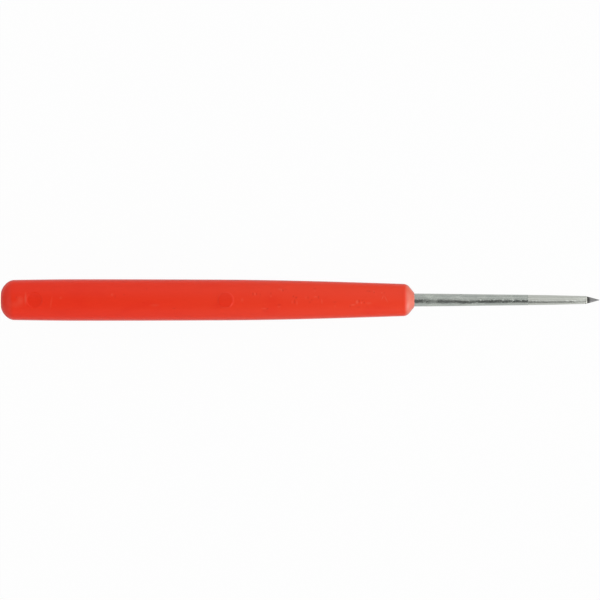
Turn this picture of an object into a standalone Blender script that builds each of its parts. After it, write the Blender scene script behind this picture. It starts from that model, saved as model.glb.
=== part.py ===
"""Scriber: a tapered steel needle with a brazed carbide point, held in a moulded plastic grip.

Metres, +Z up. The tool lies on its grip along X, with the point at +X. The origin is on the
surface that it lies on, under the middle of its overall length.
"""

import math

import bmesh
import bpy
from mathutils import Vector
from mathutils.geometry import interpolate_bezier

# Driving dimensions of the grip, measured along the axis from the butt
GRIP_LENGTH = 0.1036
BUTT_FLAT_DIAMETER = 0.0028
BUTT_DOME_LENGTH = 0.0034
BUTT_DOME_FULLNESS = 0.5
HEEL_DIAMETER = 0.01003
SWELL_AT = 0.0200
SWELL_DIAMETER = 0.01038
SHOULDER_AT = 0.0560
SHOULDER_DIAMETER = 0.01018
NOSE_DIAMETER = 0.0080
NOSE_CHAMFER_ANGLE = math.radians(50)
NOSE_EDGE_ROUND = 0.0006
NOSE_EDGE_FULLNESS = 0.55
NOSE_LAND = 0.00015

# Round marks that the ejector pins leave on the upper side of the grip
MARK_DISTANCES = (0.0086, 0.0564)
MARK_DIAMETER = 0.0040
MARK_DEPTH = 0.0001

# The needle in front of the grip: a bowed root taper, a slim run and a ground run, end to end
ROOT_LENGTH = 0.0164
SLIM_LENGTH = 0.0121
GROUND_LENGTH = 0.0144
ROOT_DIAMETER = 0.00324
NECK_DIAMETER = 0.00288
SLIM_END_DIAMETER = 0.00263
GROUND_STEP = 0.00003
ROOT_BOW = 1.4
GROUND_BOW = 1.5

# The tang inside the grip, from the nose back: a round run, two wings pinched out of the rod so
# that it can't turn or pull out, with a ramp before and after them, and a round tail
TANG_ROUND_LENGTH = 0.0240
WING_RAMP = 0.0030
WING_LENGTH = 0.0060
TANG_TAIL_LENGTH = 0.0090
TAIL_CHAMFER = 0.0005
WING_SPAN = 0.0048
WING_THICKNESS = 0.0021

# The carbide pin, brazed into a drilled socket with a thin lip at its mouth
PIN_DIAMETER = 0.00172
PIN_SHANK = 0.0060
SOCKET_LIP = 0.0001
POINT_LENGTH = 0.0030
POINT_RADIUS = 0.00007
POINT_CROWN = 0.00004
DRILL_POINT_ANGLE = math.radians(118)
BRAZE_LENGTH = 0.0005
BRAZE_EDGE = 0.00003
BRAZE_FULLNESS = 0.6

# Clearances between the fixed pieces
TANG_GAP = 0.0001
BRAZE_GAP = 0.00002

# How finely the round forms are divided
SEGMENTS = 48
DOME_STEPS = 7
BARREL_STEPS = 20
EDGE_STEPS = 4
RAMP_STEPS = 4
TAPER_STEPS = 6
BRAZE_STEPS = 3
MARK_RINGS = 3
MARK_SEGMENTS = 32
POLE_MERGE = 1e-7
CUTTER_RUNOUT = 0.001

NOSE_FACE_RADIUS = ROOT_DIAMETER / 2 + TANG_GAP + NOSE_LAND
NOSE_CHAMFER_LENGTH = (NOSE_DIAMETER / 2 - NOSE_FACE_RADIUS) / math.tan(NOSE_CHAMFER_ANGLE)
NOSE_CORNER_AT = GRIP_LENGTH - NOSE_CHAMFER_LENGTH
NEEDLE_REACH = ROOT_LENGTH + SLIM_LENGTH + GROUND_LENGTH
SOCKET_RADIUS = PIN_DIAMETER / 2 + BRAZE_GAP
WING_DISTANCE = TANG_ROUND_LENGTH + WING_RAMP + WING_LENGTH / 2
TANG_LENGTH = WING_DISTANCE + WING_LENGTH / 2 + WING_RAMP + TANG_TAIL_LENGTH
OVERALL_LENGTH = GRIP_LENGTH + NEEDLE_REACH + BRAZE_LENGTH + POINT_LENGTH
# The grip lies on the middle of a facet, at its widest place.
WIDEST_DIAMETER = max(HEEL_DIAMETER, SWELL_DIAMETER, SHOULDER_DIAMETER, NOSE_DIAMETER)
AXIS_HEIGHT = WIDEST_DIAMETER / 2 * math.cos(math.pi / SEGMENTS)


def clear_scene():
    """Removes whatever the startup scene holds."""
    for obj in list(bpy.data.objects):
        bpy.data.objects.remove(obj)


def material(name, colour, roughness, metallic):
    """A plain Principled finish."""
    made = bpy.data.materials.new(name)
    made.use_nodes = True
    shader = made.node_tree.nodes["Principled BSDF"]
    shader.inputs["Base Color"].default_value = (*colour, 1.0)
    shader.inputs["Roughness"].default_value = roughness
    shader.inputs["Metallic"].default_value = metallic
    made.diffuse_color = (*colour, 1.0)
    return made


def tool_axis():
    """The empty that carries every piece. Its X axis is the tool's axis, from the butt forward."""
    axis = bpy.data.objects.new("tool_axis", None)
    axis.location = (-OVERALL_LENGTH / 2, 0, AXIS_HEIGHT)
    bpy.context.scene.collection.objects.link(axis)
    return axis


def object_from(bm, name, axis, distance):
    """Makes the bmesh an object on the tool's axis, at this distance from the butt."""
    bmesh.ops.recalc_face_normals(bm, faces=bm.faces)
    mesh = bpy.data.meshes.new(name)
    bm.to_mesh(mesh)
    bm.free()
    mesh.shade_smooth()
    mesh.set_sharp_from_angle(angle=math.radians(35))
    made = bpy.data.objects.new(name, mesh)
    made.parent = axis
    made.location = (distance, 0, 0)
    bpy.context.scene.collection.objects.link(made)
    return made


def spun(profile, closed=False):
    """A solid of revolution about X, from (distance, radius) points.

    The profile starts and ends on the axis, unless it is closed on itself and makes a ring. A facet
    and not a corner faces down, so that the piece has something flat to lie on.
    """
    bm = bmesh.new()
    first = math.pi / SEGMENTS
    down, across = -math.cos(first), math.sin(first)
    verts = [bm.verts.new((x, radius * across, radius * down)) for x, radius in profile]
    ends = verts[1:] + verts[:1] if closed else verts[1:]
    edges = [bm.edges.new(pair) for pair in zip(verts, ends)]
    bmesh.ops.spin(
        bm,
        geom=verts + edges,
        cent=(0, 0, 0),
        axis=(1, 0, 0),
        angle=math.tau,
        steps=SEGMENTS,
        use_merge=True,
    )
    bmesh.ops.remove_doubles(bm, verts=bm.verts, dist=POLE_MERGE)
    return bm


def cut(target, cutter):
    """Takes the cutter out of the target, and keeps it as a helper that isn't part of the tool."""
    cutter.hide_render = True
    cutter.display_type = "WIRE"
    boolean = target.modifiers.new(f"cut {cutter.name}", "BOOLEAN")
    boolean.operation = "DIFFERENCE"
    boolean.object = cutter


def shares(steps):
    """Evenly spaced shares, from one step above 0 up to 1."""
    return [step / steps for step in range(1, steps + 1)]


def eased(start, corner, finish, fullness, steps):
    """Points of a curve that takes a corner off, after its start. Fullness 0 is a flat chamfer."""
    start, corner, finish = Vector(start), Vector(corner), Vector(finish)
    handles = start.lerp(corner, fullness), finish.lerp(corner, fullness)
    return [tuple(point) for point in interpolate_bezier(start, *handles, finish, steps + 1)[1:]]


def grip_radius(distance):
    """Radius of the grip between its heel and its nose: a monotone cubic through four stations."""
    at = (BUTT_DOME_LENGTH, SWELL_AT, SHOULDER_AT, NOSE_CORNER_AT)
    radii = [d / 2 for d in (HEEL_DIAMETER, SWELL_DIAMETER, SHOULDER_DIAMETER, NOSE_DIAMETER)]
    rise = [(radii[i + 1] - radii[i]) / (at[i + 1] - at[i]) for i in range(3)]
    inner = [2 * a * b / (a + b) if a * b > 0 else 0.0 for a, b in zip(rise, rise[1:])]
    slopes = [(3 * rise[0] - inner[0]) / 2, *inner, (3 * rise[2] - inner[1]) / 2]
    span = next((i for i in range(2) if distance < at[i + 1]), 2)
    length = at[span + 1] - at[span]
    t = (distance - at[span]) / length
    return (
        radii[span] * (1 + 2 * t) * (1 - t) ** 2
        + radii[span + 1] * t**2 * (3 - 2 * t)
        + slopes[span] * length * t * (1 - t) ** 2
        - slopes[span + 1] * length * t**2 * (1 - t)
    )


def grip_profile():
    """The grip's outline: butt flat, dome, barrel, rounded edge and conical nose."""
    flat, heel = (0, BUTT_FLAT_DIAMETER / 2), (BUTT_DOME_LENGTH, HEEL_DIAMETER / 2)
    outline = [(0, 0), flat, *eased(flat, (0, heel[1]), heel, BUTT_DOME_FULLNESS, DOME_STEPS)]
    barrel_end = NOSE_CORNER_AT - NOSE_EDGE_ROUND
    for share in shares(BARREL_STEPS):
        distance = BUTT_DOME_LENGTH + (barrel_end - BUTT_DOME_LENGTH) * share
        outline.append((distance, grip_radius(distance)))
    corner = Vector((NOSE_CORNER_AT, NOSE_DIAMETER / 2))
    face = Vector((GRIP_LENGTH, NOSE_FACE_RADIUS))
    cone_start = corner.lerp(face, NOSE_EDGE_ROUND / (face - corner).length)
    outline += eased(outline[-1], corner, cone_start, NOSE_EDGE_FULLNESS, EDGE_STEPS)
    return [*outline, tuple(face), (GRIP_LENGTH, 0)]


def wing_stations():
    """Distances, back from the nose, of the sections through the pinched wings."""
    half = WING_LENGTH / 2
    ramp = [half + WING_RAMP * share for share in [0, *shares(RAMP_STEPS)]]
    return sorted({WING_DISTANCE + side * offset for side in (-1, 1) for offset in ramp})


def tang_outline(gap):
    """The tang's outline before it is pinched, grown by a gap. X is 0 at the nose of the grip."""
    radius = ROOT_DIAMETER / 2 + gap
    tail = -TANG_LENGTH - gap
    outline = [(tail, 0), (tail, radius - TAIL_CHAMFER), (tail + TAIL_CHAMFER, radius)]
    return outline + [(-distance, radius) for distance in reversed(wing_stations())]


def pinch(bm, gap):
    """Squeezes the round tang flat between its ramps, so that it spreads into two wings along Y."""
    radius = ROOT_DIAMETER / 2 + gap
    spread = (WING_SPAN / 2 + gap) / radius
    squeeze = (WING_THICKNESS / 2 + gap) / radius
    for vert in bm.verts:
        off_wing = abs(vert.co.x + WING_DISTANCE) - WING_LENGTH / 2
        ramp = min(max(1 - off_wing / WING_RAMP, 0), 1)
        weight = ramp * ramp * (3 - 2 * ramp)
        vert.co.y *= 1 + weight * (spread - 1)
        vert.co.z *= 1 + weight * (squeeze - 1)


def mark_cutter(axis, number, distance):
    """A round punch whose foot follows the grip's surface, one mark's depth below it."""
    bm = bmesh.new()

    def point(ring, step, lift):
        radius = MARK_DIAMETER / 2 * ring / MARK_RINGS
        turn = math.tau * step / MARK_SEGMENTS
        x, y = radius * math.cos(turn), radius * math.sin(turn)
        surface = math.sqrt(grip_radius(distance + x) ** 2 - y**2)
        return bm.verts.new((x, y, surface - MARK_DEPTH + lift))

    rims = []
    for lift in (0, CUTTER_RUNOUT):
        inner = [point(0, 0, lift)] * MARK_SEGMENTS
        for ring in range(1, MARK_RINGS + 1):
            outer = [point(ring, step, lift) for step in range(MARK_SEGMENTS)]
            for i in range(MARK_SEGMENTS):
                corners = (inner[i - 1], inner[i], outer[i], outer[i - 1])
                bm.faces.new(dict.fromkeys(corners))
            inner = outer
        rims.append(inner)
    foot, head = rims
    for i in range(MARK_SEGMENTS):
        bm.faces.new((foot[i - 1], foot[i], head[i], head[i - 1]))
    return object_from(bm, f"mark_cutter_{number}", axis, distance)


def make_grip(axis):
    """The moulded grip, with the cavity that the tang fills and the ejector marks."""
    grip = object_from(spun(grip_profile()), "grip", axis, 0)
    runout = [(CUTTER_RUNOUT, ROOT_DIAMETER / 2 + TANG_GAP), (CUTTER_RUNOUT, 0)]
    cavity = spun(tang_outline(TANG_GAP) + runout)
    pinch(cavity, TANG_GAP)
    cut(grip, object_from(cavity, "tang_cavity", axis, GRIP_LENGTH))
    for number, distance in enumerate(MARK_DISTANCES, start=1):
        cut(grip, mark_cutter(axis, number, distance))
    grip.data.materials.append(material("red grip plastic", (0.76, 0.045, 0.021), 0.35, 0.0))
    return grip


def tapered(start, end, bow):
    """Points of a taper between two (distance, diameter) ends. A higher bow narrows it later."""
    points = []
    for share in shares(TAPER_STEPS):
        diameter = start[1] + (end[1] - start[1]) * share**bow
        points.append((start[0] + (end[0] - start[0]) * share, diameter / 2))
    return points


def needle_outline():
    """The needle's outline: tang, bowed root taper, slim neck, then the ground stretch."""
    root, neck = (0, ROOT_DIAMETER), (ROOT_LENGTH, NECK_DIAMETER)
    slim_end = (ROOT_LENGTH + SLIM_LENGTH, SLIM_END_DIAMETER)
    ground = (slim_end[0], SLIM_END_DIAMETER - 2 * GROUND_STEP)
    end = (NEEDLE_REACH, 2 * (SOCKET_RADIUS + SOCKET_LIP))
    outline = [*tang_outline(0), (0, ROOT_DIAMETER / 2), *tapered(root, neck, ROOT_BOW)]
    outline += [(distance, diameter / 2) for distance, diameter in (slim_end, ground)]
    return [*outline, *tapered(ground, end, GROUND_BOW), (NEEDLE_REACH, 0)]


def make_needle(axis):
    """The steel needle, with its pinched tang and the drilled socket for the carbide pin."""
    rod = spun(needle_outline())
    pinch(rod, 0)
    needle = object_from(rod, "needle", axis, GRIP_LENGTH)
    floor, runout = -PIN_SHANK - BRAZE_GAP, CUTTER_RUNOUT
    tip = floor - SOCKET_RADIUS / math.tan(DRILL_POINT_ANGLE / 2)
    drill = spun([(tip, 0), (floor, SOCKET_RADIUS), (runout, SOCKET_RADIUS), (runout, 0)])
    cut(needle, object_from(drill, "socket_drill", axis, GRIP_LENGTH + NEEDLE_REACH))
    needle.data.materials.append(material("plated steel", (0.55, 0.57, 0.55), 0.22, 1.0))
    return needle


def make_carbide_point(axis):
    """The carbide pin: a shank in the socket, then the ground scribing point."""
    radius = PIN_DIAMETER / 2
    tip = BRAZE_LENGTH + POINT_LENGTH
    pin = [(-PIN_SHANK, 0), (-PIN_SHANK, radius), (BRAZE_LENGTH, radius)]
    pin += [(tip - POINT_CROWN, POINT_RADIUS), (tip, 0)]
    made = object_from(spun(pin), "carbide_point", axis, GRIP_LENGTH + NEEDLE_REACH)
    made.data.materials.append(material("ground carbide", (0.17, 0.17, 0.17), 0.35, 1.0))
    return made


def make_braze_fillet(axis):
    """The rounded bead of braze round the pin, in front of the needle's end face."""
    root = (BRAZE_GAP, SOCKET_RADIUS + SOCKET_LIP)
    edge = (BRAZE_LENGTH, SOCKET_RADIUS + BRAZE_EDGE)
    slope = eased(root, (edge[0], root[1]), edge, BRAZE_FULLNESS, BRAZE_STEPS)
    ring = [(BRAZE_GAP, SOCKET_RADIUS), root, *slope, (BRAZE_LENGTH, SOCKET_RADIUS)]
    made = object_from(spun(ring, closed=True), "braze_fillet", axis, GRIP_LENGTH + NEEDLE_REACH)
    made.data.materials.append(material("silver braze", (0.72, 0.70, 0.62), 0.3, 1.0))
    return made


def main():
    """Builds the scriber from the butt forward."""
    clear_scene()
    axis = tool_axis()
    make_grip(axis)
    make_needle(axis)
    make_carbide_point(axis)
    make_braze_fillet(axis)


main()
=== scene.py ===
"""Looks of the scriber: moulded red grip, plated and ground needle, braze and carbide point."""

import math

import bpy
import numpy as np
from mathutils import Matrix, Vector
from mathutils.geometry import interpolate_bezier


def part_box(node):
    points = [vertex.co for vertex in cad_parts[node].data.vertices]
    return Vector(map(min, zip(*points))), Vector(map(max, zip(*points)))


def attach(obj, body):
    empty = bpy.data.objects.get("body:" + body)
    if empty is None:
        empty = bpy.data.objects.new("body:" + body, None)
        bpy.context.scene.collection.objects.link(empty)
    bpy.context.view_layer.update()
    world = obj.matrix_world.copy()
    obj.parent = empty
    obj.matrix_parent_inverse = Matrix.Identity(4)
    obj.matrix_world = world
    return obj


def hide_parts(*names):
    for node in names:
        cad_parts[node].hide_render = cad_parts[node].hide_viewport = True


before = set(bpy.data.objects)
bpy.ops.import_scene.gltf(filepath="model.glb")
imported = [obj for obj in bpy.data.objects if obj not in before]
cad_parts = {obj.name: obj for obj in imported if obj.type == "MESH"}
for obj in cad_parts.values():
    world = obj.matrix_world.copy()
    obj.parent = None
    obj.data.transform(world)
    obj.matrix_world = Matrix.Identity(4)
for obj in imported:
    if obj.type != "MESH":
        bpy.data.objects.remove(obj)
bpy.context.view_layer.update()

MM = 0.001
DEGREE = math.pi / 180

# The frame gives each piece's ends and its thickness. The tool's axis is level, along X.
GRIP_LOW, GRIP_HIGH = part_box("grip")
NEEDLE_LOW, NEEDLE_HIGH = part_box("needle")
BRAZE_LOW, BRAZE_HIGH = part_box("braze_fillet")
POINT_LOW, POINT_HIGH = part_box("carbide_point")
BUTT_X = GRIP_LOW.x
NOSE_X = GRIP_HIGH.x
AXIS_Z = (GRIP_LOW.z + GRIP_HIGH.z) / 2
GRIP_LENGTH = NOSE_X - BUTT_X

# Outline of the grip, from the butt: distances along the axis and radii. Fullness is how far a
# rounded edge reaches towards its sharp corner.
FLAT_RADIUS = 1.4 * MM
DOME_LENGTH = 3.4 * MM
DOME_FULLNESS = 0.5
HEEL_RADIUS = 5.01 * MM
SWELL_AT = 20.0 * MM
SWELL_RADIUS = (GRIP_HIGH.z - GRIP_LOW.z) / 2
SHOULDER_AT = 56.0 * MM
SHOULDER_RADIUS = 5.08 * MM
NOSE_RADIUS = 3.995 * MM
NOSE_EDGE_ROUND = 0.8 * MM
FACE_RADIUS = 1.77 * MM
FACE_ROUND = 0.09 * MM
CONE_ANGLE = 51 * DEGREE
EDGE_FULLNESS = 0.55
DOME_RINGS = 30
EDGE_RINGS = 12
CONE_RINGS = 8
FACE_RINGS = 4

# Needle and tang, from the nose: the runs in front of it, and the wings behind it
ROOT_RADIUS = 1.62 * MM
ROOT_LENGTH = 16.4 * MM
ROOT_BOW = 1.4
NECK_RADIUS = 1.44 * MM
GROUND_AT = 28.5 * MM
GROUND_RADIUS = 1.315 * MM
GROUND_STEP = 0.03 * MM
GROUND_BOW = 1.5
RUN_RINGS = 24
SLIM_RINGS = 12
NEEDLE_REACH = NEEDLE_HIGH.x - NOSE_X
TANG_LENGTH = NOSE_X - NEEDLE_LOW.x
TANG_GAP = 0.1 * MM
TAIL_CHAMFER = 0.5 * MM
WING_AT = 30.0 * MM
WING_LENGTH = 6.0 * MM
WING_RAMP = 3.0 * MM
WING_SPAN = 4.8 * MM
WING_THICKNESS = 2.1 * MM
WING_RINGS = 9

# The needle's front end, with a drilled socket for the pin, and the carbide pin
END_RADIUS = (BRAZE_HIGH.y - BRAZE_LOW.y) / 2
END_LAND = 0.1 * MM
END_CHAMFER = 0.03 * MM
END_CHAMFER_LENGTH = 0.04 * MM
BRAZE_GAP = 0.02 * MM
SOCKET_LIP = 0.1 * MM
SOCKET_RADIUS = END_RADIUS - SOCKET_LIP
SOCKET_DEPTH = NEEDLE_HIGH.x - POINT_LOW.x + BRAZE_GAP
DRILL_HALF_ANGLE = 59 * DEGREE
PIN_RADIUS = (POINT_HIGH.y - POINT_LOW.y) / 2
PIN_CHAMFER = 0.05 * MM
TIP_RADIUS = 0.07 * MM
TIP_CROWN = 0.04 * MM
POINT_RINGS = 24
TIP_RINGS = 7

# The bead of braze round the pin, which stops a little shy of the solid's front end
BRAZE_BULGE = 0.03 * MM
BRAZE_SLANT = 0.05 * MM
BRAZE_SHY = 0.11 * MM
BRAZE_EDGE = 0.03 * MM
BRAZE_SEAT = 0.01 * MM
BRAZE_RINGS = 14

ROD_SIDES = 96
SHARP_ANGLE = 40 * DEGREE


def smooth(value, low, high):
    """Rises from 0 to 1 between low and high, without corners."""
    share = np.clip((value - low) / (high - low), 0, 1)
    return share * share * (3 - 2 * share)


class Value:
    """A node's output socket that can be reckoned with: each operator adds a Math node."""

    def __init__(self, shader, socket):
        self.shader = shader
        self.socket = socket

    def __add__(self, other):
        return self.shader.math("ADD", self, other)

    def __radd__(self, other):
        return self.shader.math("ADD", other, self)

    def __sub__(self, other):
        return self.shader.math("SUBTRACT", self, other)

    def __rsub__(self, other):
        return self.shader.math("SUBTRACT", other, self)

    def __mul__(self, other):
        return self.shader.math("MULTIPLY", self, other)

    def __rmul__(self, other):
        return self.shader.math("MULTIPLY", other, self)

    def between(self, low, high):
        """0 below low, 1 above high, and smooth between them."""
        settings = {"interpolation_type": "SMOOTHSTEP"}
        return self.shader.node("ShaderNodeMapRange", settings, {0: self, 1: low, 2: high})

    def within(self, start, end, soft):
        """1 between start and end and 0 elsewhere, with soft ends."""
        return self.between(start - soft, start + soft) - self.between(end - soft, end + soft)


class Shader:
    """The nodes of one material or of the world."""

    def __init__(self, owner):
        owner.use_nodes = True
        self.tree = owner.node_tree
        self.tree.nodes.clear()

    def node(self, kind, settings=None, sockets=None, output=0):
        """Adds a node: its settings first, then the values or links of its sockets.

        A setting of its texture mapping is named with a dot, as in texture_mapping.scale.
        """
        made = self.tree.nodes.new(kind)
        for name, setting in (settings or {}).items():
            holder, _, last = name.rpartition(".")
            setattr(getattr(made, holder) if holder else made, last, setting)
        for name, value in (sockets or {}).items():
            if isinstance(value, Value):
                self.tree.links.new(value.socket, made.inputs[name])
            else:
                made.inputs[name].default_value = value
        return Value(self, made.outputs[output]) if made.outputs else None

    def math(self, operation, *terms):
        """A Math node on up to three values or numbers."""
        return self.node("ShaderNodeMath", {"operation": operation}, dict(enumerate(terms)))

    def place(self):
        """The point on the object, in metres, and its three coordinates."""
        point = self.node("ShaderNodeTexCoord", output="Object")
        split = [self.node("ShaderNodeSeparateXYZ", sockets={0: point}, output=i) for i in range(3)]
        return point, *split

    def noise(self, point, size, detail, distortion=0.0):
        """Soft noise from 0 to 1 whose lumps are about this size, in metres."""
        sockets = {"Vector": point, "Scale": 1 / size, "Detail": detail, "Distortion": distortion}
        return self.node("ShaderNodeTexNoise", sockets=sockets)

    def stretched(self, point, x=1.0, y=1.0, z=1.0):
        """The point with its coordinates scaled, so that noise on it is drawn out."""
        return self.node("ShaderNodeVectorMath", {"operation": "MULTIPLY"}, {0: point, 1: (x, y, z)})

    def reach(self, point, x):
        """How far a point is from the upright line that crosses the tool's axis at x."""
        sockets = {0: self.stretched(point, z=0.0), 1: (x, 0.0, 0.0)}
        return self.node("ShaderNodeVectorMath", {"operation": "DISTANCE"}, sockets, output="Value")

    def spot(self, point, x, y, length, width, turn):
        """1 in the middle of an oval seen from above, falling smoothly to 0 at its edge."""
        settings = {
            "gradient_type": "SPHERICAL",
            "texture_mapping.vector_type": "TEXTURE",
            "texture_mapping.translation": (x, y, 0.0),
            "texture_mapping.rotation": (0.0, 0.0, turn),
            "texture_mapping.scale": (length / 2, width / 2, 1.0),
        }
        near = self.node("ShaderNodeTexGradient", settings, {"Vector": point}, output="Fac")
        return near.between(0.0, 1.0)

    def mix(self, share, first, second):
        """A colour between two."""
        sockets = {0: share, 6: first, 7: second}
        return self.node("ShaderNodeMix", {"data_type": "RGBA"}, sockets, output=2)

    def bump(self, height):
        """A normal that is tilted by a height in metres."""
        return self.node("ShaderNodeBump", sockets={"Height": height, "Strength": 1, "Distance": 1})


def finish(name, paint, constants):
    """A material: paint returns what changes over its surface, and the rest is constant."""
    made = bpy.data.materials.new(name)
    shader = Shader(made)
    surface = shader.node("ShaderNodeBsdfPrincipled", sockets={**constants, **paint(shader)})
    shader.node("ShaderNodeOutputMaterial", sockets={"Surface": surface})
    return made


def eased(start, corner, end, fullness, steps):
    """Points of a curve that takes a corner off, after its start. Fullness 0 is a flat cut."""
    start, corner, end = Vector(start), Vector(corner), Vector(end)
    handles = start.lerp(corner, fullness), end.lerp(corner, fullness)
    curve = interpolate_bezier(start, *handles, end, steps + 1)
    return [tuple(point) for point in curve[1:]]


def loft(name, rings, closed=False):
    """A skin through rings of points. A ring of one point is a pole that closes the end."""
    verts = np.concatenate(rings)
    starts = np.cumsum([0] + [len(ring) for ring in rings])
    pairs = list(zip(range(len(rings)), range(1, len(rings))))
    if closed:
        pairs.append((len(rings) - 1, 0))
    faces = []
    for a, b in pairs:
        count = max(len(rings[a]), len(rings[b]))
        first = [starts[a] + i % len(rings[a]) for i in range(count + 1)]
        second = [starts[b] + i % len(rings[b]) for i in range(count + 1)]
        for i in range(count):
            corners = dict.fromkeys((first[i], second[i], second[i + 1], first[i + 1]))
            faces.append([int(corner) for corner in corners])
    mesh = bpy.data.meshes.new(name)
    mesh.from_pydata(verts.tolist(), [], faces)
    mesh.shade_smooth()
    mesh.set_sharp_from_angle(angle=SHARP_ANGLE)
    made = bpy.data.objects.new(name, mesh)
    bpy.context.scene.collection.objects.link(made)
    return made


def ring(x, radius, turns):
    """Points round the tool's axis. Turn 0 is the top, and a quarter turn is +Y."""
    across, up = radius * np.sin(turns), radius * np.cos(turns)
    return np.column_stack([np.broadcast_to(x, turns.shape), across, AXIS_Z + up])


def pole(x):
    """A single point on the tool's axis."""
    return np.array([[x, 0.0, AXIS_Z]])


def even_turns(count):
    """Angles all the way round, evenly spaced."""
    return np.arange(count) * math.tau / count


def pinched(points, gap):
    """Squeezes tang rings flat, so that they spread into two wings along Y."""
    off_wing = np.abs(NOSE_X - WING_AT - points[:, 0]) - WING_LENGTH / 2
    weight = smooth(WING_RAMP - off_wing, 0, WING_RAMP)
    radius = ROOT_RADIUS + gap
    points[:, 1] *= 1 + weight * ((WING_SPAN / 2 + gap) / radius - 1)
    height = (points[:, 2] - AXIS_Z) * (1 + weight * ((WING_THICKNESS / 2 + gap) / radius - 1))
    points[:, 2] = AXIS_Z + height
    return points


def tang_rings(turns, gap):
    """The tang's skin from the tail pole to just behind the nose, grown by a gap."""
    radius = ROOT_RADIUS + gap
    tail = NOSE_X - TANG_LENGTH - gap
    wing = WING_LENGTH / 2 + WING_RAMP * np.linspace(0, 1, WING_RINGS)
    stations = np.concatenate([-wing[::-1], wing]) + NOSE_X - WING_AT
    rings = [pole(tail), ring(tail, radius - TAIL_CHAMFER, turns)]
    rings.append(ring(tail + TAIL_CHAMFER, radius, turns))
    return rings + [pinched(ring(x, radius, turns), gap) for x in stations]


# Round marks that the ejector pins leave on the upper side of the grip: place and height
MARKS = ((8.6 * MM, -0.06 * MM), (56.4 * MM, 0.1 * MM))
MARK_RADIUS = 2.0 * MM
MARK_WALL = 0.2 * MM
MARK_FINE = 0.09 * MM
MARK_REACH = 2.6 * MM
BURR_HEIGHT = 0.025 * MM
BURR_WIDTH = 0.15 * MM
BURR_BREAKS = 3
BURR_PHASE = 2.6
COARSE_STEP = 0.8 * MM

# Fine seam where the two halves of the mould met, along both sides
SEAM_HEIGHT = 0.02 * MM
SEAM_WIDTH = 0.07 * MM


def grip_radius(distance):
    """Radius of the barrel between its heel and its nose: a monotone cubic through stations."""
    at = (DOME_LENGTH, SWELL_AT, SHOULDER_AT, cone_start()[0])
    radii = (HEEL_RADIUS, SWELL_RADIUS, SHOULDER_RADIUS, NOSE_RADIUS)
    rise = [(radii[i + 1] - radii[i]) / (at[i + 1] - at[i]) for i in range(3)]
    inner = [2 * a * b / (a + b) if a * b > 0 else 0.0 for a, b in zip(rise, rise[1:])]
    slopes = [(3 * rise[0] - inner[0]) / 2, *inner, (3 * rise[2] - inner[1]) / 2]
    span = next((i for i in range(2) if distance < at[i + 1]), 2)
    length = at[span + 1] - at[span]
    t = (distance - at[span]) / length
    return (
        radii[span] * (1 + 2 * t) * (1 - t) ** 2
        + radii[span + 1] * t**2 * (3 - 2 * t)
        + slopes[span] * length * t * (1 - t) ** 2
        - slopes[span + 1] * length * t**2 * (1 - t)
    )


def cone_start():
    """The sharp corner, before rounding, where the barrel meets the conical nose."""
    return GRIP_LENGTH - (NOSE_RADIUS - FACE_RADIUS) / math.tan(CONE_ANGLE), NOSE_RADIUS


def barrel_stations(start, end):
    """Distances along the barrel, close together across the ejector marks."""
    stations = [start]
    while stations[-1] < end - COARSE_STEP:
        near = min(abs(stations[-1] - mark) for mark, _ in MARKS)
        fine = smooth(near, MARK_REACH, MARK_REACH + 3 * COARSE_STEP)
        stations.append(stations[-1] + MARK_FINE + (COARSE_STEP - MARK_FINE) * float(fine))
    return [*stations[1:], end]


def grip_outline():
    """Distance and radius down the outside of the grip, from the butt to the needle's mouth."""
    flat, heel = (0, FLAT_RADIUS), (DOME_LENGTH, HEEL_RADIUS)
    outline = [(0, FLAT_RADIUS * share) for share in (0.3, 0.6, 0.85)]
    outline += [flat, *eased(flat, (0, HEEL_RADIUS), heel, DOME_FULLNESS, DOME_RINGS)]
    corner = Vector(cone_start())
    barrel_end = corner.x - NOSE_EDGE_ROUND
    outline += [(at, grip_radius(at)) for at in barrel_stations(DOME_LENGTH, barrel_end)]
    face = Vector((GRIP_LENGTH, FACE_RADIUS))
    down_cone = corner.lerp(face, NOSE_EDGE_ROUND / (face - corner).length)
    outline += eased(outline[-1], corner, down_cone, EDGE_FULLNESS, EDGE_RINGS)
    cone_end = face.lerp(corner, FACE_ROUND / (face - corner).length)
    outline += [tuple(down_cone.lerp(cone_end, share)) for share in np.linspace(0, 1, CONE_RINGS)[1:]]
    mouth = ROOT_RADIUS + TANG_GAP
    face_start = (GRIP_LENGTH, FACE_RADIUS - FACE_ROUND / 3)
    outline += eased(outline[-1], face, face_start, EDGE_FULLNESS, FACE_RINGS)
    inside = (GRIP_LENGTH - FACE_ROUND, mouth)
    return outline + eased(face_start, (GRIP_LENGTH, mouth), inside, EDGE_FULLNESS, FACE_RINGS)


def grip_turns():
    """Angles round the grip, close together at the top, where the marks are, and at the seams."""
    top = 25 * DEGREE
    fine = 1.0 * DEGREE
    coarse = 2.5 * DEGREE
    by_seam = 87 * DEGREE
    seam = np.array([-2.4, -1.6, -1.1, -0.7, -0.35, 0, 0.35, 0.7, 1.1, 1.6, 2.4]) * DEGREE
    upper = np.arange(0, top, fine)
    side = np.linspace(top, by_seam, int((by_seam - top) / coarse))[:-1]
    under = np.linspace(math.pi - by_seam, math.pi, int(by_seam / coarse))
    half = np.concatenate([upper, side, seam + math.pi / 2, under])
    return np.concatenate([half, -half[1:-1][::-1] + math.tau])


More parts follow.
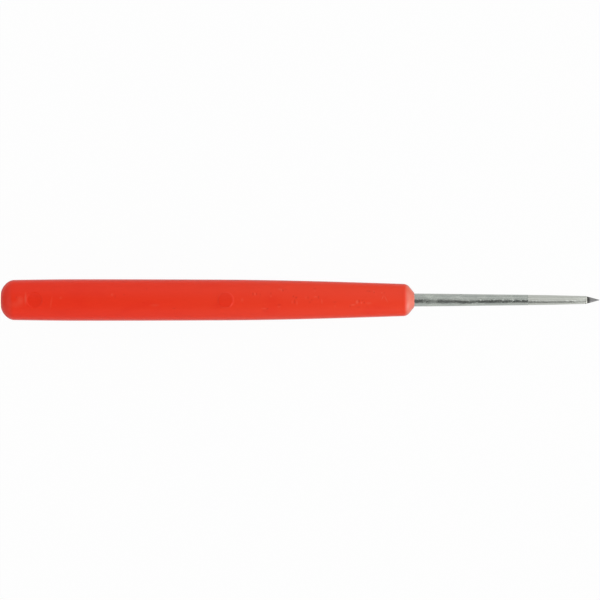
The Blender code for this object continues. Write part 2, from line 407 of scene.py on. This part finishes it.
def grip_relief(distance, turns, radius):
    """Height of the skin's relief: ejector marks with a broken burr, and the seams."""
    across = radius * np.sin(turns)
    on_top = np.cos(turns) > 0
    height = np.zeros_like(turns)
    for mark, step in MARKS:
        reach = np.hypot(distance - mark, across)
        bearing = np.arctan2(across, distance - mark)
        height += step * on_top * (1 - smooth(reach, MARK_RADIUS - MARK_WALL, MARK_RADIUS))
        burr = np.exp(-(((reach - MARK_RADIUS - BURR_WIDTH / 2) / BURR_WIDTH) ** 2))
        broken = 0.55 + 0.45 * np.sin(BURR_BREAKS * bearing + BURR_PHASE)
        height += BURR_HEIGHT * on_top * burr * broken
    off_seam = np.abs(radius * np.cos(turns))
    height += SEAM_HEIGHT * np.exp(-((off_seam / SEAM_WIDTH) ** 2)) * radius / SWELL_RADIUS
    return height


def make_grip():
    """The grip's fine skin, closed by the cavity that the tang fills."""
    turns = grip_turns()
    rings = [pole(BUTT_X)]
    for distance, radius in grip_outline():
        lifted = radius + grip_relief(distance, turns, radius)
        on_face = distance == 0 or distance > GRIP_LENGTH - FACE_ROUND
        rings.append(ring(BUTT_X + distance, radius if on_face else lifted, turns))
    rings += tang_rings(turns, TANG_GAP)[::-1]
    return loft("grip_skin", rings)


def taper(start, end, bow, count):
    """Distances and radii between two stations. A higher bow narrows the rod later."""
    shares = np.linspace(0, 1, count)
    along, thin = end[0] - start[0], end[1] - start[1]
    return [(start[0] + along * share, start[1] + thin * share**bow) for share in shares]


def make_needle():
    """The needle's skin: tang, root taper, slim run, finish line, ground run and socket."""
    turns = even_turns(ROD_SIDES)
    neck = (ROOT_LENGTH, NECK_RADIUS)
    ground = (GROUND_AT, GROUND_RADIUS - GROUND_STEP)
    ground_end = (NEEDLE_REACH - END_LAND, END_RADIUS)
    runs = taper((0, ROOT_RADIUS), neck, ROOT_BOW, RUN_RINGS)
    runs += taper(neck, (GROUND_AT, GROUND_RADIUS), 1.0, SLIM_RINGS)[1:]
    runs += taper(ground, ground_end, GROUND_BOW, RUN_RINGS)
    runs.append((NEEDLE_REACH - END_CHAMFER_LENGTH, END_RADIUS))
    runs += [(NEEDLE_REACH, END_RADIUS - END_CHAMFER), (NEEDLE_REACH, SOCKET_RADIUS)]
    floor = NEEDLE_HIGH.x - SOCKET_DEPTH
    drill_point = pole(floor - SOCKET_RADIUS / math.tan(DRILL_HALF_ANGLE))
    rings = tang_rings(turns, 0) + [ring(NOSE_X + at, radius, turns) for at, radius in runs]
    return loft("needle_skin", rings + [ring(floor, SOCKET_RADIUS, turns), drill_point])


def make_point():
    """The carbide pin: shank, ground cone and a small worn tip."""
    turns = even_turns(ROD_SIDES)
    crown = POINT_HIGH.x - TIP_CROWN
    stations = [(POINT_LOW.x, PIN_RADIUS - PIN_CHAMFER), (POINT_LOW.x + PIN_CHAMFER, PIN_RADIUS)]
    stations += [(BRAZE_LOW.x, PIN_RADIUS), (BRAZE_HIGH.x, PIN_RADIUS)]
    for share in np.linspace(0, 1, POINT_RINGS)[1:]:
        radius = PIN_RADIUS + (TIP_RADIUS - PIN_RADIUS) * share
        stations.append((BRAZE_HIGH.x + (crown - BRAZE_HIGH.x) * share, radius))
    for angle in np.linspace(0, math.pi / 2, TIP_RINGS)[1:-1]:
        stations.append((crown + TIP_CROWN * math.sin(angle), TIP_RADIUS * math.cos(angle)))
    rings = [pole(POINT_LOW.x)] + [ring(x, radius, turns) for x, radius in stations]
    return loft("point_skin", rings + [pole(POINT_HIGH.x)])


def make_braze():
    """The bead of braze round the pin: rounded, with a slightly slanting front edge."""
    turns = even_turns(ROD_SIDES)
    inner = PIN_RADIUS + BRAZE_SEAT
    back = BRAZE_LOW.x
    front = BRAZE_HIGH.x - BRAZE_SHY
    uneven = 0.5 + 0.35 * np.sin(turns - 0.4) + 0.15 * np.sin(3 * turns + 1.0)
    rings = [ring(back, inner, turns), ring(back, END_RADIUS - BRAZE_BULGE, turns)]
    for share in np.linspace(0, 1, BRAZE_RINGS)[1:]:
        x = back + (front - back - BRAZE_SLANT * uneven) * share
        swell = math.sqrt(1 - (2 * min(share, 0.5) - 1) ** 2)
        drop = (END_RADIUS - PIN_RADIUS - BRAZE_EDGE) * smooth(share, 0.3, 1.0)
        rings.append(ring(x, END_RADIUS - BRAZE_BULGE * (1 - swell) - drop, turns))
    rings.append(ring(rings[-1][:, 0], inner, turns))
    return loft("braze_ring", rings, closed=True)


PLASTIC = {
    "Specular IOR Level": 0.32,
    "Sheen Weight": 0.34,
    "Sheen Roughness": 0.3,
    "Coat Roughness": 0.45,
    "Coat IOR": 1.8,
}

# Wear on the upper side of the grip, in millimetres: distance from the butt, place across,
# length, width, turn in degrees and strength
PITS = (
    (4.1, 0.7, 0.5, 0.5, 0, 1.0),
    (28.8, 0.9, 0.6, 1.8, 0, 0.4),
    (31.0, 1.3, 1.0, 0.8, 0, 0.4),
    (36.7, 2.8, 0.4, 0.9, 0, 0.6),
    (43.5, -2.1, 1.2, 0.5, 0, 0.6),
    (63.2, 1.5, 0.6, 1.3, 0, 0.8),
    (64.1, 1.5, 0.6, 1.0, 0, 1.0),
    (65.0, 1.4, 0.6, 1.5, 0, 0.3),
    (66.2, -2.7, 2.3, 0.8, 0, 0.4),
    (66.8, -2.2, 1.0, 0.6, 35, 0.6),
    (67.7, 1.6, 0.7, 1.0, 0, 0.5),
    (69.8, -1.2, 1.5, 0.7, 0, 0.5),
    (70.7, 2.4, 0.8, 1.0, 0, 0.9),
    (71.4, 2.7, 1.0, 0.7, 20, 0.4),
    (73.3, 0.9, 0.7, 0.7, 0, 1.0),
    (73.6, -0.4, 0.7, 1.8, 0, 0.7),
    (74.0, 0.6, 1.1, 0.7, 40, 1.0),
    (77.0, 0.6, 0.7, 1.3, 0, 0.4),
    (77.4, -0.5, 1.0, 1.0, 0, 0.4),
    (77.9, 0.0, 0.8, 0.8, 0, 0.5),
    (78.7, 2.9, 1.3, 0.7, 0, 0.6),
    (79.6, 0.7, 0.6, 1.3, 0, 0.7),
    (83.6, -0.5, 1.5, 0.7, 0, 0.4),
    (87.5, -1.5, 0.8, 1.0, 0, 0.5),
    (89.6, -1.7, 1.5, 0.7, 0, 0.4),
    (89.7, -0.3, 0.6, 1.3, 0, 1.0),
    (90.5, -0.1, 0.8, 0.6, 0, 0.6),
    (91.0, -0.6, 0.6, 1.0, 0, 0.8),
    (91.8, -1.7, 1.5, 0.7, 0, 0.3),
    (92.2, 2.2, 2.0, 0.7, -8, 0.6),
    (93.5, 1.9, 0.7, 0.7, 0, 0.8),
    (96.1, 1.8, 0.6, 0.6, 0, 0.5),
)
SCUFFS = (
    (4.0, -1.1, 5.6, 2.6, 0, 0.35),
    (5.1, 0.0, 2.6, 3.0, 20, 0.55),
    (6.4, 0.4, 0.9, 4.4, 0, 0.8),
    (12.8, -0.6, 0.7, 4.5, -8, 0.4),
    (15.2, 0.5, 1.1, 1.1, 0, 0.4),
    (28.0, 1.3, 1.0, 1.2, 0, 0.5),
    (38.7, -1.3, 3.2, 1.2, 0, 0.3),
    (60.5, 0.0, 1.2, 1.6, 0, 0.4),
    (63.7, 1.5, 0.6, 1.3, 0, 0.6),
    (66.0, -2.1, 2.0, 0.6, 0, 0.5),
    (67.7, 0.9, 0.8, 0.8, 0, 0.4),
    (69.7, -1.7, 1.5, 0.7, 0, 0.4),
    (69.8, 2.7, 1.4, 1.0, 0, 0.4),
    (70.3, 2.5, 0.6, 1.0, 0, 0.7),
    (73.0, -0.5, 0.6, 1.5, 0, 0.5),
    (74.2, -0.7, 0.6, 2.0, 0, 0.5),
    (76.4, 0.6, 0.8, 1.3, 0, 0.3),
    (78.7, 2.2, 0.8, 0.6, 0, 0.3),
    (78.8, 0.8, 1.5, 0.7, 0, 0.5),
    (80.4, -0.3, 0.7, 2.0, 10, 0.5),
    (83.7, -1.5, 1.0, 0.8, 0, 0.3),
    (88.2, -1.2, 2.0, 0.8, 10, 0.7),
    (89.2, -0.5, 1.1, 1.6, 0, 0.9),
    (90.3, -0.7, 0.7, 1.0, 0, 0.8),
    (92.2, -0.8, 2.3, 1.0, 0, 0.45),
    (93.4, 2.2, 0.7, 0.6, 0, 0.5),
    (95.4, 1.8, 0.7, 0.7, 0, 0.5),
    (95.6, 0.6, 1.9, 0.4, 67, 0.7),
    (96.5, 0.2, 3.0, 0.4, -63, 0.7),
)

# Colours of the plastic
RED_AT_BUTT = (0.88, 0.023, 0.001, 1)
# The red at the nose is paler as painted light from the nose side.
RED_LIT_AT_NOSE = (0.88, 0.044, 0.010, 1)
RED_BLOTCH = (0.84, 0.019, 0.0005, 1)
# Painted shade inside the ejector marks, which reflect less of the light round them.
RED_MARK_SHADE = (0.82, 0.019, 0.0005, 1)
# The cone's paler colour is a painted highlight from the bright light beyond the nose.
RED_CONE_HIGHLIGHT = (0.72, 0.115, 0.055, 1)
RED_SCUFF = (0.93, 0.26, 0.17, 1)
RED_PIT = (0.48, 0.008, 0.0005, 1)

# How far behind the nose the painted highlight and the extra gloss on the grip's cone start and are
# full
CONE_HIGHLIGHT_AND_GLOSS = (2.6 * MM, 1.5 * MM)


def worn(shader, point, places):
    """The sum of some worn spots, each as strong as its list says."""
    total = 0.0
    for along, across, length, width, turn, strength in places:
        middle = BUTT_X + along * MM, across * MM
        spot = shader.spot(point, *middle, length * MM, width * MM, turn * DEGREE)
        total = spot * strength + total
    return total


def paint_plastic(shader):
    """Moulded red plastic with faint grain and flow marks, pits and scuffs, painted light towards the
    nose, painted shade in the ejector marks and a painted highlight on the cone.
    """
    point, x, y, z = shader.place()
    flow = shader.noise(shader.stretched(point, x=0.25), 3.5 * MM, detail=3)
    grain = shader.noise(point, 0.12 * MM, detail=1)
    lumps = shader.noise(point, 1.6 * MM, detail=2)
    blotches = shader.noise(shader.stretched(point, x=0.5), 5 * MM, detail=2)
    on_top = (z - AXIS_Z).between(0, 1 * MM)
    pits = worn(shader, point, PITS) * on_top
    scuffs = worn(shader, point, SCUFFS) * on_top
    pressed = 0.0
    for mark, _ in MARKS:
        off_mark = shader.reach(point, BUTT_X + mark)
        inside = 1 - off_mark.between(MARK_RADIUS - MARK_WALL, MARK_RADIUS)
        pressed = inside * on_top + pressed
    # Painted light: the red grows paler towards the nose, blended with a little flow noise.
    forward = x.between(BUTT_X, NOSE_X) * 0.8 + flow * 0.2
    cone = x.between(NOSE_X - CONE_HIGHLIGHT_AND_GLOSS[0], NOSE_X - CONE_HIGHLIGHT_AND_GLOSS[1])
    colour = shader.mix(forward, RED_AT_BUTT, RED_LIT_AT_NOSE)
    colour = shader.mix(blotches.between(0.5, 0.75) * 0.5, colour, RED_BLOTCH)
    # Painted shade: the ejector marks are darkened in colour.
    colour = shader.mix(pressed * 0.42, colour, RED_MARK_SHADE)
    # Painted highlight: the cone is paler in colour.
    colour = shader.mix(cone * 0.9, colour, RED_CONE_HIGHLIGHT)
    colour = shader.mix(scuffs * 0.22, colour, RED_SCUFF)
    colour = shader.mix(pits * 0.35, colour, RED_PIT)
    skin = grain * (0.0016 * MM) + lumps * (0.006 * MM) + flow * (0.012 * MM)
    wear = scuffs * lumps * (0.04 * MM) - pits * (0.03 * MM)
    return {
        "Base Color": colour,
        "Roughness": 0.43 + grain * 0.04 + scuffs * 0.1 + pits * 0.15 - pressed * 0.03 - cone * 0.03,
        "Coat Weight": cone * (0.85 - 0.5 * y.between(0.6 * MM, 2.6 * MM)),
        "Normal": shader.bump(skin + wear),
    }


# Places on the needle, from the nose
DULL_ROOT = (2.4 * MM, 6.0 * MM)
DULL_BAND = (24.0 * MM, 24.5 * MM)
FLAT_AT = (11.4 * MM, 15.4 * MM)
ROOT_EASES = (2.5 * MM, 5.0 * MM)
GROUND_EDGE = 0.02 * MM
SATIN_END_AT = 40.5 * MM

# Slopes across the rod where it isn't quite round, which shift the dark reflection along it
FLAT_SLOPE = 0.12
ROOT_SLOPE = 0.09
GROUND_SLOPE = 0.18

# Colours of the metals
PLATING_DARKER = (0.455, 0.49, 0.458, 1)
PLATING_PALER = (0.52, 0.55, 0.512, 1)
PLATING_DULL = (0.53, 0.57, 0.52, 1)
GROUND_STEEL = (0.585, 0.605, 0.56, 1)
CARBIDE_BY_BRAZE = (0.045, 0.045, 0.042, 1)
CARBIDE_CONE = (0.17, 0.17, 0.17, 1)
BRAZE_DARKER = (0.48, 0.49, 0.455, 1)
BRAZE_PALER = (0.58, 0.59, 0.545, 1)

# Shade in the joint between the needle and the braze, away from +Y
JOINT_DARK = (0.2, 0.2, 0.18, 1)
JOINT_SHARE = 0.7


def paint_needle(shader):
    """Rippled bright plating with dull patches, then a satin-ground run with turned lines."""
    point, x, y, _ = shader.place()
    out = x - NOSE_X
    ground = out.between(GROUND_AT - GROUND_EDGE, GROUND_AT + GROUND_EDGE)
    plated = 1 - ground
    drawn = shader.stretched(point, x=0.3)
    patches = shader.noise(drawn, 1.2 * MM, detail=3, distortion=0.5)
    waves = shader.noise(drawn, 2.2 * MM, detail=1) - 0.5
    ripples = shader.noise(shader.stretched(point, x=0.75), 0.7 * MM, detail=2) - 0.5
    calm = 1 - 0.65 * y.between(0.1 * MM, 0.7 * MM)
    turned = shader.noise(shader.stretched(point, y=0.02, z=0.02), 0.035 * MM, detail=2)
    chatter = shader.noise(point, 0.5 * MM, detail=1) - 0.5
    ragged = out + (patches - 0.5) * (2 * MM)
    dull_root = ragged.within(*DULL_ROOT, 0.6 * MM) * patches.between(0.3, 0.7)
    dull = dull_root * 0.8 + ragged.within(*DULL_BAND, 0.2 * MM) * 0.5
    bright = shader.mix(patches.between(0.35, 0.7), PLATING_DARKER, PLATING_PALER)
    bright = shader.mix(dull, bright, PLATING_DULL)
    at_end = out.between(NEEDLE_REACH - 0.15 * MM, NEEDLE_REACH - 0.05 * MM)
    joint = at_end * (1 - y.between(-0.4 * MM, 0.2 * MM))
    colour = shader.mix(ground, bright, GROUND_STEEL)
    colour = shader.mix(joint * JOINT_SHARE, colour, JOINT_DARK)
    satin_end = out.between(SATIN_END_AT - 1 * MM, SATIN_END_AT + 1 * MM)
    plated_rough = 0.17 + patches * 0.06 + dull * 0.16
    ground_rough = 0.26 + turned * 0.06 + satin_end * 0.1
    root_slope = (1 - out.between(*ROOT_EASES)) * ROOT_SLOPE
    plated_slope = ragged.within(*FLAT_AT, 0.8 * MM) * FLAT_SLOPE - root_slope
    plated_height = (waves * (0.1 * MM) + ripples * (0.095 * MM)) * calm - plated_slope * y
    cutting = (ripples * (0.02 * MM) + chatter * (0.05 * MM)) * calm
    ground_height = turned * (0.0015 * MM) + cutting - y * GROUND_SLOPE
    return {
        "Base Color": colour,
        "Roughness": plated_rough * plated + ground_rough * ground,
        "Normal": shader.bump(plated_height * plated + ground_height * ground),
    }


def paint_carbide(shader):
    """Ground carbide: dark grey, darker by the braze, with fine turned lines."""
    point, x, _, _ = shader.place()
    off_braze = (x - BRAZE_HIGH.x).between(0.2 * MM, 0.9 * MM)
    lines = shader.noise(shader.stretched(point, y=0.05, z=0.05), 0.04 * MM, detail=2)
    specks = shader.noise(point, 0.08 * MM, detail=2)
    colour = shader.mix(off_braze, CARBIDE_BY_BRAZE, CARBIDE_CONE)
    return {
        "Base Color": colour,
        "Roughness": 0.3 + specks * 0.15,
        "Normal": shader.bump(lines * (0.002 * MM)),
    }


def paint_braze(shader):
    """Pale braze with a soft, slightly lumpy skin."""
    point, x, y, _ = shader.place()
    lumps = shader.noise(point, 0.15 * MM, detail=2)
    at_back = 1 - (x - BRAZE_LOW.x).between(0.02 * MM, 0.2 * MM)
    joint = at_back * (1 - y.between(-0.4 * MM, 0.3 * MM))
    colour = shader.mix(lumps, BRAZE_DARKER, BRAZE_PALER)
    return {
        "Base Color": shader.mix(joint * JOINT_SHARE, colour, JOINT_DARK),
        "Roughness": 0.38 + lumps * 0.12,
        "Normal": shader.bump(lumps * (0.01 * MM)),
    }


def dress(piece, node, material):
    """Gives a piece its finish, and lets it stand for its CAD node."""
    piece.data.materials.append(material)
    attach(piece, "root")
    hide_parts(node)


# The floor: half its side in metres and its grey, how white it is to the camera and in gloss, and
# how much of the light that it would throw up is held back
FLOOR_HALF = 4.0
FLOOR_GREY = 0.65
FLOOR_WHITE_SEEN = 0.97
FLOOR_WHITE_IN_GLOSS = 0.5
FLOOR_LIGHT_HELD = 0.8


def make_floor():
    """A pale floor that reads as white, keeps the object's shadow and throws little light up."""
    mesh = bpy.data.meshes.new("floor")
    signs = ((-1, -1), (1, -1), (1, 1), (-1, 1))
    corners = [(FLOOR_HALF * x, FLOOR_HALF * y, 0) for x, y in signs]
    mesh.from_pydata(corners, [], [(0, 1, 2, 3)])
    floor = bpy.data.objects.new("floor", mesh)
    bpy.context.scene.collection.objects.link(floor)
    made = bpy.data.materials.new("white floor")
    shader = Shader(made)
    camera, glossy, through, diffuse = [
        shader.node("ShaderNodeLightPath", output=name)
        for name in ("Is Camera Ray", "Is Glossy Ray", "Is Transmission Ray", "Is Diffuse Ray")
    ]
    grey = (FLOOR_GREY, FLOOR_GREY, FLOOR_GREY, 1)
    plain = shader.node("ShaderNodeBsdfDiffuse", sockets={"Color": grey})
    white = shader.node("ShaderNodeEmission", sockets={"Color": (1, 1, 1, 1), "Strength": 1.0})
    white_share = camera * FLOOR_WHITE_SEEN + (glossy + through) * FLOOR_WHITE_IN_GLOSS
    pale = shader.node("ShaderNodeMixShader", sockets={0: white_share, 1: plain, 2: white})
    dark_share = diffuse * FLOOR_LIGHT_HELD
    surface = shader.node("ShaderNodeMixShader", sockets={0: dark_share, 1: pale})
    shader.node("ShaderNodeOutputMaterial", sockets={"Surface": surface})
    mesh.materials.append(made)


# The light tent: the brightness of its parts, and the directions between which they change. A
# tilt is an angle from straight up to one side. An end's direction is the cosine of its angle
# from the tool's axis.
ROOF_LEVEL = 0.15
LEFT_LEVEL = 0.54
LEFT_TILTS = (3 * DEGREE, 52 * DEGREE)
RIGHT_LEVEL = 0.7
RIGHT_TILTS = (42 * DEGREE, 92 * DEGREE)
LOW_TILTS = (25 * DEGREE, 85 * DEGREE)
ENDS_START = (0.25, 0.35)
ENDS_STEP = (0.52, 0.68)


def make_world():
    """A light tent: dark overhead, paler down both sides, and bright beyond the nose and the butt.

    Left is +Y, as seen by someone who looks along +X.
    """
    world = bpy.data.worlds.new("light tent")
    bpy.context.scene.world = world
    shader = Shader(world)
    way = shader.node("ShaderNodeTexCoord", output="Generated")
    x, y, z = [shader.node("ShaderNodeSeparateXYZ", sockets={0: way}, output=i) for i in range(3)]
    back = -1 * x
    tilt = shader.math("ARCTAN2", y, z)
    to_right = -1 * tilt
    to_side = shader.math("ABSOLUTE", tilt)
    right_side = RIGHT_LEVEL * to_right.between(*RIGHT_TILTS)
    left_side = LEFT_LEVEL * tilt.between(*LEFT_TILTS)
    roof = ROOF_LEVEL + right_side + left_side
    low_down = 0.7 + 0.8 * to_side.between(*LOW_TILTS) + 0.3 * to_right.between(*LOW_TILTS)
    nose_side = (2.05 - 0.95 * x.between(*ENDS_STEP)) * low_down + 0.1 * x.between(0.8, 0.9)
    butt_side = (0.5 + 0.9 * back.between(*ENDS_STEP)) * low_down - 0.95 * back.between(0.64, 0.8)
    at_nose = x.between(*ENDS_START)
    at_butt = back.between(*ENDS_START)
    level = roof * (1 - at_nose - at_butt) + nose_side * at_nose + butt_side * at_butt
    seen = shader.node("ShaderNodeLightPath", output="Is Camera Ray")
    strength = level * (1 - seen) + seen
    tent = shader.node("ShaderNodeBackground", sockets={"Color": (1, 1, 1, 1), "Strength": strength})
    shader.node("ShaderNodeOutputWorld", sockets={"Surface": tent})


def add_lamp(name, place, aim, width, height, level):
    """A soft rectangular lamp of this brightness, which the camera doesn't see."""
    light = bpy.data.lights.new(name, "AREA")
    light.shape = "RECTANGLE"
    light.size, light.size_y = width, height
    light.energy = level * math.pi * width * height
    lamp = bpy.data.objects.new(name, light)
    lamp.location = place
    lamp.rotation_euler = (Vector(place) - Vector(aim)).to_track_quat("Z", "Y").to_euler()
    lamp.visible_camera = False
    bpy.context.scene.collection.objects.link(lamp)


# Soft panels round the tool, and a strip low down at its right that lights the nose: name, place,
# the point it faces, width and height, all in metres, and brightness
GRIP_FRONT = (0.03, 0, 0.005)
LAMPS = (
    ("roof_panel", (0.05, 0.03, 0.16), (0.05, 0, 0), 0.08, 0.08, 0.40),
    ("front_roof_panel", (0.12, 0, 0.16), (0.12, 0, 0), 0.08, 0.08, 1.2),
    ("side_panel", (0.07, 0.10, 0.11), (0.05, 0, 0), 0.08, 0.12, 0.16),
    ("butt_panel", (-0.26, 0, 0.14), (-0.07, 0, 0.005), 0.12, 0.10, 2.15),
    ("nose_strip", (0.26, -0.14, 0.03), GRIP_FRONT, 0.12, 0.04, 7.0),
    ("nose_panel", (0.30, 0, 0.09), GRIP_FRONT, 0.22, 0.07, 0.8),
)

CAMERA_HEIGHT = 1.5
CAMERA_X = -0.04 * MM
VIEW_WIDTH = 150.37 * MM
SENSOR_WIDTH = 36


def make_camera():
    """Straight above the tool, with a long lens that just holds it from end to end."""
    data = bpy.data.cameras.new("camera")
    camera = bpy.data.objects.new("camera", data)
    data.sensor_width = SENSOR_WIDTH
    data.lens = SENSOR_WIDTH * (CAMERA_HEIGHT - AXIS_Z) / VIEW_WIDTH
    data.clip_start = 0.05
    camera.location = (CAMERA_X, 0, CAMERA_HEIGHT)
    bpy.context.scene.collection.objects.link(camera)
    bpy.context.scene.camera = camera


METAL = {"Metallic": 1.0}
PIECES = (
    (make_grip, "grip", "grip_plastic", "red moulded plastic", paint_plastic, PLASTIC),
    (make_needle, "needle", "needle_steel", "plated and ground steel", paint_needle, METAL),
    (make_point, "carbide_point", "carbide", "ground carbide", paint_carbide, METAL),
    (make_braze, "braze_fillet", "silver_braze", "silver braze", paint_braze, METAL),
)

make_camera()
make_world()
for lamp in LAMPS:
    add_lamp(*lamp)
make_floor()
for make, node, slot, name, paint, constants in PIECES:
    dress(make(), node, finish(name, paint, constants))
bpy.context.scene.view_settings.view_transform = "Standard"
